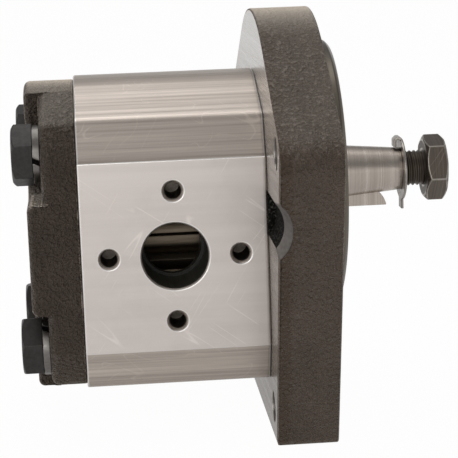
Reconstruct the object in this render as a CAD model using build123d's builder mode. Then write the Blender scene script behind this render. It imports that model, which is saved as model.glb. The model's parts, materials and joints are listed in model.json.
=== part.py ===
"""Hydraulic gear pump with a four-hole cast flange and a tapered drive shaft.

An extruded aluminium body holds two meshing gears between bearing blocks. A cast flange closes its
front and a cast cover its rear, and four long screws clamp the three together. Oil comes in through
the wide port on the -Y side and leaves through the narrow one on the +Y side.

Millimetres. The origin is on the drive shaft's axis, in the mounting face of the flange.
+X points out along the shaft, -Y is the inlet side and +Z is up, with the driven gear below.
"""
import os
from math import acos, cos, degrees, pi, radians, sin, sqrt, tan

from build123d import *

# Gears and shafts
gear_centres = 34.5
tooth_count = 12
rest_turn = 5.0
gear_width = 20.0
pressure_angle = 25.0
addendum = 2.05
root_clearance = 0.3
backlash = 0.3
journal_radius = 9.0
tip_clearance = 0.3
journal_clearance = 0.06
side_clearance = 0.05
shaft_chamfer = 0.8

# Body, an extrusion along the shafts
body_length = 56.75
body_half_width = 37.5
port_pad_half_height = 29.2
port_pad_step = 0.8
crown_radius = 34.4
crown_facet_angle = 22.0
belly_radius = 31.65
belly_facet_angle = 16.0
shoulder_half_width = 31.5
shoulder_round = 4.0
joint_chamfer = 0.3

# Ports
inlet_radius = 10.0
inlet_throat_radius = 9.0
inlet_screw_circle = 40.0
outlet_radius = 7.5
outlet_throat_radius = 6.5
outlet_screw_circle = 35.0
port_bore_depth = 17.0
port_chamfer = 0.6
port_screw_radius = 2.6
port_screw_depth = 13.0
port_screw_mouth_radius = 3.4

# Flange
flange_thickness = 18.5
flange_top = 53.25
flange_bottom = -75.5
flange_crown_radius = 66.5
flange_shoulder_angle = 30.0
flange_base_half_width = 48.92
flange_side_angle = 17.12
flange_ear_round = 9.0
flange_foot_round = 3.0
flange_edge_chamfer = 0.3
mount_hole_radius = 4.75
upper_mount_spacing = 127.0
upper_mount_height = 16.6
lower_mount_spacing = 76.2
mount_rise = 82.55
pilot_radius = 42.5
pilot_height = 5.7
pilot_chamfer = 1.2
notch_radius = 10.0
notch_bite = 2.6
notch_height = 11.9
notch_flare_start = 58.0
notch_flare_angle = 5.3

# Rear cover
cover_thickness = 15.5
cover_inset = 1.2
pocket_depth = 4.7
pocket_half_width = 12.2
pocket_half_height = 17.0
pocket_corner_round = 5.0
cover_edge_round = 2.0
seat_edge_round = 2.5

# Clamping screws and their lock washers
screw_radius = 5.0
screw_hole_gap = 0.3
screw_thread_gap = 0.1
screw_spacing_y = 48.0
screw_spacing_z = 59.9
screw_lift = 0.85
screw_thread_depth = 14.0
screw_end_gap = 1.0
head_across_flats = 17.0
head_height = 6.4
head_face_radius = 8.1
head_chamfer_angle = 30.0
lock_washer_radius = 9.0
lock_washer_thickness = 2.2
lock_washer_slit = 1.6
head_turns = {(-1, 1): 36.6, (-1, -1): 45.0, (1, 1): 12.0, (1, -1): 52.0}
slit_turns = {(-1, 1): 186.0, (-1, -1): 130.0, (1, 1): 60.0, (1, -1): 300.0}

# Dowels between the housing parts
dowel_radius = 3.0
dowel_reach = 6.0
dowel_offset_y = 29.5
dowel_offset_z = 14.0
dowel_gap = 0.05

# Bearing blocks and bushes
block_end_gap = 0.1
block_side_gap = 0.08
bush_wall = 2.0
bush_recess = 0.4
relief_width = 5.0
relief_length = 11.0
relief_depth = 1.2

# Seals on the joint faces and behind the bearing blocks
body_seal_inner_radius = 20.0
body_seal_width = 0.9
body_seal_groove_depth = 1.4
groove_gap = 0.05
pressure_seal_outer_radius = 18.2
pressure_seal_width = 1.9
backup_ring_width = 0.9
pressure_groove_depth = 2.0
pressure_seal_back_edge = -6.0

# Shaft seals in the flange
seal_bore_radius = 17.5
seal_bore_depth = 17.5
seal_width = 7.0
seal_shell = 1.6
seal_lip_gap = 0.08
seal_lip_width = 1.2
seal_press_gap = 0.03
garter_wire_radius = 0.6
garter_sides = 6
spacer_width = 1.6
spacer_wall = 3.5
shaft_hole_gap = 0.5
circlip_width = 1.2
circlip_radial = 3.0
circlip_groove_depth = 1.0
circlip_opening = 9.0
circlip_eye_radius = 2.2
circlip_hole_radius = 1.0

# Shaft end: taper, half-round key, thread core, tab washer and nut
taper_start = 5.4
taper_large_radius = 8.7
taper_length = 23.1
taper_ratio = 6.0
thread_core_radius = 5.1
thread_radius = 5.85
thread_end = 42.4
key_width = 4.0
key_diameter = 16.0
key_height = 6.5
key_flat_height = 11.4
key_centre_x = 15.9
key_gap = 0.05
tab_washer_radius = 10.0
tab_washer_thickness = 0.8
tab_width = 4.5
tab_washer_bore_gap = 0.25
lug_reach = 12.9
tab_crown = 10.6
tab_fold = 2.1
tab_end = 7.2
nut_start = 35.95
nut_height = 6.9
nut_across_flats = 18.7
nut_face_radius = 9.0
nut_chamfer_angle = 30.0
nut_bore_gap = 0.08
nut_turn = 13.3

# Places that follow from the sizes
driven_z = -gear_centres
port_z = driven_z / 2
body_front = -flange_thickness
body_rear = body_front - body_length
port_x = (body_front + body_rear) / 2
gear_front = port_x + gear_width / 2
gear_rear = port_x - gear_width / 2
cover_rear = body_rear - cover_thickness
pocket_floor = cover_rear + pocket_depth
pitch_radius = gear_centres / 2
tip_radius = pitch_radius + addendum
root_radius = gear_centres - tip_radius - root_clearance
chamber_radius = tip_radius + tip_clearance
block_radius = chamber_radius - block_side_gap
block_front = body_front - block_end_gap
block_rear = body_rear + block_end_gap
front_block_length = block_front - gear_front - side_clearance
rear_block_length = gear_rear - side_clearance - block_rear
bush_bore_radius = journal_radius + journal_clearance
bush_radius = bush_bore_radius + bush_wall
taper_small_radius = taper_large_radius - taper_length / taper_ratio / 2
taper_end = taper_start + taper_length
lower_mount_height = upper_mount_height - mount_rise
screw_z = port_z + screw_lift
screw_places = [(side * screw_spacing_y / 2, screw_z + level * screw_spacing_z / 2)
                for side, level in head_turns]
dowel_places = [(dowel_offset_y, port_z + dowel_offset_z), (-dowel_offset_y, port_z - dowel_offset_z)]
parts = []


def cross(x, z=0.0):
    """Plane square to the shafts at x, with its own axes along Y and Z."""
    return Plane(origin=(x, 0, z), x_dir=(0, 1, 0), z_dir=(1, 0, 0))


def port_plane(side):
    """Plane on a port face: -1 is the inlet side and 1 the outlet side."""
    return Plane(origin=(port_x, side * body_half_width, port_z), x_dir=(-side, 0, 0), z_dir=(0, side, 0))


def keep(name, builder):
    """Label a finished piece and put it on the list of pieces to write."""
    builder.part.label = name
    parts.append(builder.part)


def housing_section(x, inset=0.0, pad_step=port_pad_step):
    """Outline that the body and, a little inside it, the cover share, drawn at x.

    An arc round each gear axis runs into a straight facet, which meets the leaning side at the
    shoulder. On the body the port pad stands a little proud of the side.
    """
    crown_angle = radians(crown_facet_angle)
    belly_angle = radians(belly_facet_angle)
    crown_reach = (crown_radius - shoulder_half_width * sin(crown_angle)) / cos(crown_angle)
    belly_reach = (belly_radius - shoulder_half_width * sin(belly_angle)) / cos(belly_angle)
    side_y = body_half_width - pad_step
    pad_end = port_pad_half_height + pad_step
    pad_corners = [(body_half_width, port_z + level * port_pad_half_height) for level in (1, -1)]
    with BuildSketch(cross(x)) as section:
        with BuildLine():
            ThreePointArc(
                (0, crown_radius),
                (crown_radius * sin(crown_angle / 2), crown_radius * cos(crown_angle / 2)),
                (crown_radius * sin(crown_angle), crown_radius * cos(crown_angle)),
            )
            Polyline(
                (crown_radius * sin(crown_angle), crown_radius * cos(crown_angle)),
                (shoulder_half_width, crown_reach),
                (side_y, port_z + pad_end),
                *(pad_corners if pad_step else []),
                (side_y, port_z - pad_end),
                (shoulder_half_width, driven_z - belly_reach),
                (belly_radius * sin(belly_angle), driven_z - belly_radius * cos(belly_angle)),
            )
            ThreePointArc(
                (belly_radius * sin(belly_angle), driven_z - belly_radius * cos(belly_angle)),
                (belly_radius * sin(belly_angle / 2), driven_z - belly_radius * cos(belly_angle / 2)),
                (0, driven_z - belly_radius),
            )
            mirror(about=Plane.YZ)
        make_face()
        shoulders = [v for v in section.vertices() if abs(abs(v.X) - shoulder_half_width) < 0.01]
        fillet(shoulders, shoulder_round)
        offset(amount=-inset, kind=Kind.INTERSECTION)
    return section.sketch


def twin_circles(x, radius):
    """Two overlapping circles round the gear axes, as the chamber, the blocks and the seals have."""
    with BuildSketch(cross(x)) as eight:
        with Locations((0, 0), (0, driven_z)):
            Circle(radius)
    return eight.sketch


def body_seal_section(x, gap=0.0):
    """Straight-sided ring round both gear axes, for a joint face's seal and, wider, its groove."""
    with BuildSketch(cross(x, port_z)) as ring:
        outer = body_seal_inner_radius + body_seal_width + gap
        SlotCenterToCenter(gear_centres, 2 * outer, rotation=90)
        SlotCenterToCenter(gear_centres, 2 * (body_seal_inner_radius - gap), rotation=90, mode=Mode.SUBTRACT)
    return ring.sketch


def tooth_face(plane):
    """One gear tooth along the plane's first axis: involute flanks between root and tip."""
    base_radius = pitch_radius * cos(radians(pressure_angle))
    involute_at_pitch = tan(radians(pressure_angle)) - radians(pressure_angle)
    half_tooth = pi / (2 * tooth_count) - backlash / (4 * pitch_radius)

    def half_angle(radius):
        angle = acos(min(1.0, base_radius / radius))
        return half_tooth + involute_at_pitch - (tan(angle) - angle)

    flank_steps = 4
    radii = [base_radius + (tip_radius - base_radius) * i / flank_steps for i in range(flank_steps + 1)]
    flank = [(r * cos(half_angle(r)), r * sin(half_angle(r))) for r in radii]
    inner = root_radius - 1.0
    foot = (inner * cos(half_angle(base_radius)), inner * sin(half_angle(base_radius)))
    with BuildSketch(plane, mode=Mode.PRIVATE) as tooth:
        with BuildLine():
            Line(foot, flank[0])
            Spline(*flank)
            ThreePointArc(flank[-1], (tip_radius, 0), (flank[-1][0], -flank[-1][1]))
            Spline(*[(u, -v) for u, v in reversed(flank)])
            Line((flank[0][0], -flank[0][1]), (foot[0], -foot[1]))
            Line((foot[0], -foot[1]), foot)
        make_face()
    return tooth.sketch


def gear_section(x, z, first_tooth):
    """Gear outline on the axis at height z, with a tooth at the angle given."""
    with BuildSketch(cross(x, z)) as outline:
        Circle(root_radius)
        with PolarLocations(0, tooth_count, start_angle=first_tooth):
            add(tooth_face(Plane.XY))
    return outline.sketch


def hexagons(x, places, across_flats, turns):
    """Hexagons of screw heads or a nut, each with a corner at the angle of its own turn."""
    with BuildSketch(cross(x)) as outline:
        for place, turn in zip(places, turns):
            with Locations(place):
                RegularPolygon(across_flats / 2, 6, major_radius=False, rotation=turn)
    return outline.sketch


def spots(x, places):
    """Planes square to the shafts at x, centred on each of the places."""
    return [Plane(origin=(x, y, z), x_dir=(0, 1, 0), z_dir=(1, 0, 0)) for y, z in places]


def chamfer_depth(corner_radius, face_radius, angle):
    """How deep the turned chamfer on a hexagon's corners goes."""
    return (corner_radius - face_radius) * tan(radians(angle))


upright = (Align.CENTER, Align.CENTER, Align.MIN)


# Flange, with the pilot, the seal bore and the mounting holes

def flange_outline(x):
    """Crowned outline with two ears, from the crown's radius and the angles of shoulders and sides."""
    shoulder = radians(flange_shoulder_angle)
    side = radians(flange_side_angle)
    crown_centre = flange_top - flange_crown_radius
    crown_end = Vector(flange_crown_radius * sin(shoulder), crown_centre + flange_crown_radius * cos(shoulder))
    crown_mid = (flange_crown_radius * sin(shoulder / 2), crown_centre + flange_crown_radius * cos(shoulder / 2))
    foot = Vector(flange_base_half_width, flange_bottom)
    down = Vector(cos(shoulder), -sin(shoulder))
    up = Vector(sin(side), cos(side))
    run = (foot - crown_end).cross(up).Z / down.cross(up).Z
    ear = crown_end + down * run
    with BuildSketch(cross(x)) as outline:
        with BuildLine():
            ThreePointArc((0, flange_top), crown_mid, (crown_end.X, crown_end.Y))
            Polyline((crown_end.X, crown_end.Y), (ear.X, ear.Y), (foot.X, foot.Y), (0, flange_bottom))
            mirror(about=Plane.YZ)
        make_face()
        fillet([v for v in outline.vertices() if abs(v.Y - ear.Y) < 0.01], flange_ear_round)
        fillet([v for v in outline.vertices() if abs(abs(v.X) - foot.X) < 0.01], flange_foot_round)
    return outline.sketch


with BuildPart() as flange:
    extrude(flange_outline(body_front), amount=flange_thickness)
    rim_faces = flange.faces().filter_by(Axis.X)
    chamfer(rim_faces.edges(), flange_edge_chamfer)
    with BuildSketch(cross(0)):
        Circle(pilot_radius)
    extrude(amount=pilot_height)
    chamfer(flange.faces().sort_by(Axis.X)[-1].edges(), pilot_chamfer)
    # bore for the shaft seals, entered from the front, and the shaft's way through
    with BuildSketch(cross(pilot_height)):
        Circle(seal_bore_radius)
    extrude(amount=-seal_bore_depth, mode=Mode.SUBTRACT)
    with BuildSketch(cross(body_front)):
        Circle(journal_radius + shaft_hole_gap)
    extrude(amount=flange_thickness, mode=Mode.SUBTRACT)
    seal_floor = pilot_height - seal_bore_depth
    circlip_x = seal_floor + 2 * seal_width + spacer_width
    with BuildSketch(cross(circlip_x)):
        Circle(seal_bore_radius + circlip_groove_depth)
    extrude(amount=circlip_width, mode=Mode.SUBTRACT)
    # mounting holes, two in the ears and two in the foot
    with BuildSketch(cross(body_front)):
        with Locations((0, upper_mount_height)):
            with GridLocations(upper_mount_spacing, 0, 2, 1):
                Circle(mount_hole_radius)
        with Locations((0, lower_mount_height)):
            with GridLocations(lower_mount_spacing, 0, 2, 1):
                Circle(mount_hole_radius)
    extrude(amount=flange_thickness, mode=Mode.SUBTRACT)
    # blind holes for the clamping screws and the dowels
    with BuildSketch(cross(body_front)):
        with Locations(*screw_places):
            Circle(screw_radius + screw_thread_gap)
    extrude(amount=screw_thread_depth, mode=Mode.SUBTRACT)
    with BuildSketch(cross(body_front)):
        with Locations(*dowel_places):
            Circle(dowel_radius + dowel_gap)
    extrude(amount=dowel_reach, mode=Mode.SUBTRACT)
    # groove for the body seal
    seal_groove = body_seal_section(body_front, groove_gap)
    extrude(seal_groove, amount=body_seal_groove_depth, mode=Mode.SUBTRACT)
    # channel beside each port along the joint face, flared where it leaves the side
    for side in (-1, 1):
        channel_x = body_front + notch_bite - notch_radius
        channel_plane = Plane(origin=(channel_x, side * notch_flare_start, port_z + notch_height),
                              x_dir=(1, 0, 0), z_dir=(0, side, 0))
        with BuildSketch(channel_plane):
            Circle(notch_radius)
        extrude(amount=body_half_width - notch_flare_start, mode=Mode.SUBTRACT)
        with BuildSketch(channel_plane):
            Circle(notch_radius)
        extrude(amount=upper_mount_spacing / 2 - body_half_width, taper=-notch_flare_angle,
                mode=Mode.SUBTRACT)
keep("flange", flange)


# Body, with the gear chamber, the ports and the screw holes

with BuildPart() as pump_body:
    extrude(housing_section(body_rear), amount=body_length)
    chamfer(pump_body.faces().filter_by(Axis.X).edges(), joint_chamfer)
    extrude(twin_circles(body_rear, chamber_radius), amount=body_length, mode=Mode.SUBTRACT)
    with BuildSketch(cross(body_rear)):
        with Locations(*screw_places):
            Circle(screw_radius + screw_hole_gap)
    extrude(amount=body_length, mode=Mode.SUBTRACT)
    for end_x, depth in ((body_rear, dowel_reach), (body_front, -dowel_reach)):
        with BuildSketch(cross(end_x)):
            with Locations(*dowel_places):
                Circle(dowel_radius + dowel_gap)
        extrude(amount=depth, mode=Mode.SUBTRACT)
    inlet = (-1, inlet_radius, inlet_throat_radius, inlet_screw_circle)
    outlet = (1, outlet_radius, outlet_throat_radius, outlet_screw_circle)
    for side, port_radius, throat_radius, screw_circle in (inlet, outlet):
        with Locations(port_plane(side)):
            CounterSinkHole(port_radius, port_radius + port_chamfer, depth=port_bore_depth)
            Hole(throat_radius, depth=body_half_width)
            with PolarLocations(screw_circle / 2, 4):
                CounterSinkHole(port_screw_radius, port_screw_mouth_radius, depth=port_screw_depth)
keep("pump_body", pump_body)


# Rear cover, a casting with a pocket at each screw

with BuildPart() as cover_base:
    base_section = housing_section(pocket_floor, cover_inset, 0)
    extrude(base_section, amount=cover_thickness - pocket_depth)
    fillet(cover_base.faces().sort_by(Axis.X)[0].edges(), seat_edge_round)

with BuildPart() as rear_cover:
    # raised middle, a cross that leaves a seat for each screw
    raised_depth = pocket_depth + seat_edge_round + 0.5
    extrude(housing_section(cover_rear, cover_inset, 0), amount=raised_depth)
    with BuildSketch(cross(cover_rear)):
        with Locations((0, port_z)):
            Rectangle(4 * body_half_width, 4 * body_half_width)
            Rectangle(2 * pocket_half_width, 4 * body_half_width, mode=Mode.SUBTRACT)
            Rectangle(4 * body_half_width, 2 * pocket_half_height, mode=Mode.SUBTRACT)
    extrude(amount=raised_depth, mode=Mode.SUBTRACT)
    inner_corners = [
        e for e in rear_cover.edges().filter_by(Axis.X)
        if abs(abs(e.center().Y) - pocket_half_width) < 0.01
        and abs(abs(e.center().Z - port_z) - pocket_half_height) < 0.01
    ]
    fillet(inner_corners, pocket_corner_round)
    fillet(rear_cover.faces().sort_by(Axis.X)[0].edges(), cover_edge_round)
    add(cover_base.part)
    with BuildSketch(cross(cover_rear)):
        with Locations(*screw_places):
            Circle(screw_radius + screw_hole_gap)
    extrude(amount=cover_thickness, mode=Mode.SUBTRACT)
    with BuildSketch(cross(body_rear)):
        with Locations(*dowel_places):
            Circle(dowel_radius + dowel_gap)
    extrude(amount=-dowel_reach, mode=Mode.SUBTRACT)
    extrude(body_seal_section(body_rear, groove_gap), amount=-body_seal_groove_depth, mode=Mode.SUBTRACT)
keep("rear_cover", rear_cover)


# Clamping screws, lock washers and dowels

head_rear = pocket_floor - lock_washer_thickness - head_height
head_corner_radius = head_across_flats / sqrt(3)
head_bevel = chamfer_depth(head_corner_radius, head_face_radius, head_chamfer_angle)
with BuildPart() as cover_screws:
    with Locations(*spots(head_rear, screw_places)):
        Cone(head_face_radius, head_corner_radius, head_bevel, align=upright)
    with Locations(*spots(head_rear + head_bevel, screw_places)):
        Cylinder(head_corner_radius, head_height - head_bevel, align=upright)
    head_shapes = hexagons(head_rear, screw_places, head_across_flats, head_turns.values())
    extrude(head_shapes, amount=head_height, mode=Mode.INTERSECT)
    screw_length = body_front + screw_thread_depth - screw_end_gap - head_rear - head_height
    with Locations(*spots(head_rear + head_height, screw_places)):
        Cylinder(screw_radius, screw_length, align=upright)
    chamfer(cover_screws.edges().group_by(Axis.X)[-1], shaft_chamfer)
keep("cover_screws", cover_screws)

with BuildPart() as lock_washers:
    with BuildSketch(cross(pocket_floor)):
        for (side, level), turn in slit_turns.items():
            with Locations((side * screw_spacing_y / 2, screw_z + level * screw_spacing_z / 2)):
                Circle(lock_washer_radius)
                Circle(screw_radius + screw_hole_gap, mode=Mode.SUBTRACT)
                with Locations(Rotation(0, 0, turn)):
                    with Locations((lock_washer_radius, 0)):
                        Rectangle(2 * lock_washer_radius - screw_radius, lock_washer_slit, mode=Mode.SUBTRACT)
    extrude(amount=-lock_washer_thickness)
keep("lock_washers", lock_washers)

for name, joint_x in (("front_dowels", body_front), ("rear_dowels", body_rear)):
    with BuildPart() as dowels:
        with BuildSketch(cross(joint_x - dowel_reach + dowel_gap)):
            with Locations(*dowel_places):
                Circle(dowel_radius)
        extrude(amount=2 * (dowel_reach - dowel_gap))
        chamfer(dowels.edges().group_by(Axis.X)[0] + dowels.edges().group_by(Axis.X)[-1], shaft_chamfer)
    keep(name, dowels)


# Gears, each in one piece with its shaft

with BuildPart() as drive_gear_shaft:
    with BuildSketch(Plane.XZ):
        with BuildLine():
            Polyline(
                (block_rear + side_clearance, 0),
                (block_rear + side_clearance, journal_radius - shaft_chamfer),
                (block_rear + side_clearance + shaft_chamfer, journal_radius),
                (taper_start - shaft_chamfer, journal_radius),
                (taper_start, taper_large_radius),
                (taper_end, taper_small_radius),
                (taper_end, thread_core_radius),
                (thread_end - shaft_chamfer, thread_core_radius),
                (thread_end, thread_core_radius - shaft_chamfer),
                (thread_end, 0),
                close=True,
            )
        make_face()
    revolve(axis=Axis.X)
    extrude(gear_section(gear_rear, 0, -90 - rest_turn), amount=gear_width)
    key_circle_z = key_height - key_flat_height - key_diameter / 2
    with BuildSketch(Plane.XZ):
        with Locations((key_centre_x, key_circle_z)):
            Circle(key_diameter / 2 + key_gap)
    extrude(amount=key_width / 2 + key_gap, both=True, mode=Mode.SUBTRACT)
keep("drive_gear_shaft", drive_gear_shaft)

with BuildPart() as driven_gear_shaft:
    with BuildSketch(Plane.XZ):
        with BuildLine():
            Polyline(
                (block_rear + side_clearance, driven_z),
                (block_rear + side_clearance, driven_z + journal_radius - shaft_chamfer),
                (block_rear + side_clearance + shaft_chamfer, driven_z + journal_radius),
                (block_front - side_clearance - shaft_chamfer, driven_z + journal_radius),
                (block_front - side_clearance, driven_z + journal_radius - shaft_chamfer),
                (block_front - side_clearance, driven_z),
                close=True,
            )
        make_face()
    revolve(axis=Axis((0, 0, driven_z), (1, 0, 0)))
    extrude(gear_section(gear_rear, driven_z, 90 + 180 / tooth_count + rest_turn), amount=gear_width)
keep("driven_gear_shaft", driven_gear_shaft)


# Bearing blocks, their bushes and the seals behind them

def pressure_seal_section(x, width, gap=0.0, inset=0.0):
    """Open figure-three band behind a bearing block, on the pressure side."""
    outer = pressure_seal_outer_radius - inset
    with BuildSketch(cross(x)) as band:
        with Locations((0, 0), (0, driven_z)):
            Circle(outer + gap)
        with Locations((0, 0), (0, driven_z)):
            Circle(outer - width - gap, mode=Mode.SUBTRACT)
        with Locations((pressure_seal_back_edge - gap - 2 * outer, port_z)):
            Rectangle(4 * outer, 4 * gear_centres, mode=Mode.SUBTRACT)
    return band.sketch


def bearing_block(outer_x, inward, block_length):
    """Block from its outer face at x; inward is 1 when the gears lie on its +X side."""
    band_width = pressure_seal_width + backup_ring_width
    with BuildPart() as block:
        extrude(twin_circles(outer_x, block_radius), amount=inward * block_length)
        with BuildSketch(cross(outer_x)):
            with Locations((0, 0), (0, driven_z)):
                Circle(bush_radius)
        extrude(amount=inward * block_length, mode=Mode.SUBTRACT)
        with BuildSketch(cross(outer_x + inward * block_length, port_z)):
            with GridLocations(relief_width + relief_length, 0, 2, 1):
                SlotOverall(relief_length, relief_width)
        extrude(amount=-inward * relief_depth, mode=Mode.SUBTRACT)
        extrude(pressure_seal_section(outer_x, band_width, groove_gap),
                amount=inward * pressure_groove_depth, mode=Mode.SUBTRACT)
    return block


front_block = bearing_block(block_front, -1, front_block_length)
keep("front_bearing_block", front_block)
rear_block = bearing_block(block_rear, 1, rear_block_length)
keep("rear_bearing_block", rear_block)

for end, start_x, block_length in (("front", gear_front + side_clearance, front_block_length),
                                   ("rear", block_rear, rear_block_length)):
    for gear, axis_z in (("drive", 0), ("driven", driven_z)):
        with BuildPart() as bush:
            with BuildSketch(cross(start_x + bush_recess, axis_z)):
                Circle(bush_radius - seal_press_gap)
                Circle(bush_bore_radius, mode=Mode.SUBTRACT)
            extrude(amount=block_length - 2 * bush_recess)
        keep(gear + "_" + end + "_bush", bush)

seal_depth = pressure_groove_depth - groove_gap
for end, outer_x, inward in (("front", block_front, -1), ("rear", block_rear, 1)):
    with BuildPart() as pressure_seal:
        extrude(pressure_seal_section(outer_x, pressure_seal_width), amount=inward * seal_depth)
    keep(end + "_pressure_seal", pressure_seal)
    with BuildPart() as backup_ring:
        extrude(pressure_seal_section(outer_x, backup_ring_width, inset=pressure_seal_width),
                amount=inward * seal_depth)
    keep(end + "_backup_ring", backup_ring)

for name, joint_x, outward in (("front_body_seal", body_front, 1), ("rear_body_seal", body_rear, -1)):
    with BuildPart() as body_seal:
        extrude(body_seal_section(joint_x), amount=outward * (body_seal_groove_depth - groove_gap))
    keep(name, body_seal)


# Shaft seals, the spacer between them and the circlip that holds them

seal_starts = (seal_floor, seal_floor + seal_width + spacer_width)
lip_radius = journal_radius + seal_lip_gap
shell_radius = seal_bore_radius - seal_press_gap
for name, start_x in zip(("inner_shaft_seal", "outer_shaft_seal"), seal_starts):
    web_x = start_x + seal_width - 2 * seal_shell
    with BuildPart() as shaft_seal:
        with BuildSketch(Plane.XZ):
            with BuildLine():
                Polyline(
                    (start_x, shell_radius),
                    (start_x + seal_width, shell_radius),
                    (start_x + seal_width, lip_radius + seal_shell),
                    (web_x + seal_shell, lip_radius + seal_shell),
                    (start_x + seal_shell + seal_lip_width, lip_radius),
                    (start_x + seal_shell, lip_radius),
                    (start_x + seal_shell, lip_radius + seal_shell),
                    (start_x + seal_shell + 2 * garter_wire_radius, lip_radius + seal_shell),
                    (web_x, lip_radius + 2 * seal_shell),
                    (web_x, shell_radius - seal_shell),
                    (start_x, shell_radius - seal_shell),
                    close=True,
                )
            make_face()
        revolve(axis=Axis.X)
    keep(name, shaft_seal)

with BuildPart() as garter_springs:
    for start_x in seal_starts:
        with BuildSketch(Plane.XZ):
            with Locations((start_x + seal_shell + garter_wire_radius,
                            lip_radius + seal_shell + garter_wire_radius + groove_gap)):
                RegularPolygon(garter_wire_radius, garter_sides)
        revolve(axis=Axis.X)
keep("garter_springs", garter_springs)

with BuildPart() as seal_spacer:
    with BuildSketch(cross(seal_floor + seal_width)):
        Circle(seal_bore_radius - seal_press_gap)
        Circle(seal_bore_radius - spacer_wall, mode=Mode.SUBTRACT)
    extrude(amount=spacer_width)
keep("seal_spacer", seal_spacer)

with BuildPart() as seal_circlip:
    clip_radius = seal_bore_radius + circlip_groove_depth - groove_gap
    eye_y = circlip_opening / 2
    eye_z = sqrt((clip_radius - circlip_radial - circlip_eye_radius / 2) ** 2 - eye_y ** 2)
    with BuildSketch(cross(circlip_x + groove_gap)):
        Circle(clip_radius)
        Circle(clip_radius - circlip_radial, mode=Mode.SUBTRACT)
        with Locations((0, clip_radius)):
            Rectangle(circlip_opening, 2 * circlip_radial + 2 * circlip_eye_radius, mode=Mode.SUBTRACT)
        with Locations((eye_y, eye_z), (-eye_y, eye_z)):
            Circle(circlip_eye_radius)
            Circle(circlip_hole_radius, mode=Mode.SUBTRACT)
    extrude(amount=circlip_width - 2 * groove_gap)
keep("seal_circlip", seal_circlip)


# Key, tab washer and nut on the shaft's end

with BuildPart() as half_round_key:
    key_chord = key_diameter / 2 - key_height
    key_plane = Plane(origin=(key_centre_x, 0, key_circle_z), x_dir=(1, 0, 0), z_dir=(0, -1, 0))
    with BuildSketch(key_plane):
        Circle(key_diameter / 2)
        with Locations((0, key_chord - key_diameter / 2)):
            Rectangle(2 * key_diameter, key_diameter, mode=Mode.SUBTRACT)
    extrude(amount=key_width / 2, both=True)
keep("half_round_key", half_round_key)

with BuildPart() as tab_washer:
    with BuildSketch(cross(taper_end)):
        Circle(tab_washer_radius)
        Circle(thread_radius + tab_washer_bore_gap, mode=Mode.SUBTRACT)
    extrude(amount=tab_washer_thickness)
    # straight lug at the key and a tab folded back over the taper, both as strips
    rim = tab_washer_radius - tab_washer_thickness
    fold_x = taper_end - tab_fold
    lug = [
        (taper_end, -rim),
        (taper_end, -lug_reach),
        (taper_end + tab_washer_thickness, -lug_reach),
        (taper_end + tab_washer_thickness, -rim),
    ]
    tab = [
        (taper_end + tab_washer_thickness, rim),
        (taper_end, rim),
        (taper_end - tab_fold / 3, tab_crown - tab_washer_thickness),
        (fold_x + tab_washer_thickness, rim),
        (fold_x + tab_washer_thickness, tab_end),
        (fold_x, tab_end),
        (fold_x, rim + tab_washer_thickness / 2),
        (taper_end - tab_fold / 2, tab_crown),
        (taper_end, tab_crown),
    ]
    for strip in (lug, tab):
        with BuildSketch(Plane.XZ):
            with BuildLine():
                Polyline(*strip, close=True)
            make_face()
        extrude(amount=tab_width / 2, both=True)
keep("tab_washer", tab_washer)

nut_corner_radius = nut_across_flats / sqrt(3)
nut_bore_radius = thread_core_radius + nut_bore_gap
nut_bevel = chamfer_depth(nut_corner_radius, nut_face_radius, nut_chamfer_angle)
with BuildPart() as shaft_nut:
    with Locations(*spots(nut_start, [(0, 0)])):
        Cone(nut_face_radius, nut_corner_radius, nut_bevel, align=upright)
    with Locations(*spots(nut_start + nut_bevel, [(0, 0)])):
        Cylinder(nut_corner_radius, nut_height - 2 * nut_bevel, align=upright)
    with Locations(*spots(nut_start + nut_height - nut_bevel, [(0, 0)])):
        Cone(nut_corner_radius, nut_face_radius, nut_bevel, align=upright)
    nut_shape = hexagons(nut_start, [(0, 0)], nut_across_flats, [nut_turn])
    extrude(nut_shape, amount=nut_height, mode=Mode.INTERSECT)
    with Locations(*spots(nut_start, [(0, 0)])):
        Cylinder(nut_bore_radius, nut_height, align=upright, mode=Mode.SUBTRACT)
    mouths = [e for e in shaft_nut.edges().filter_by(GeomType.CIRCLE)
              if abs(e.radius - nut_bore_radius) < 0.01]
    chamfer(mouths, thread_radius - thread_core_radius)
keep("shaft_nut", shaft_nut)


os.makedirs("parts", exist_ok=True)
for piece in parts:
    export_step(piece, "parts/" + piece.label + ".step")
    print(piece.label, len(piece.solids()), round(piece.volume / 1000, 2), "cm3")
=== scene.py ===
# %% [markdown]
# # A hydraulic gear pump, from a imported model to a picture
#
# The pump is an aluminium extrusion clamped between a cast flange and a cast rear cover. The
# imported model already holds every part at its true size. This lesson gives those parts their
# edges, threads and finishes, and nothing here moves or resizes them.

# %% Load the model
import json
from math import atan2, cos, hypot, pi, radians, sin, tan

import bpy
from mathutils import Matrix, Vector


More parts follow.
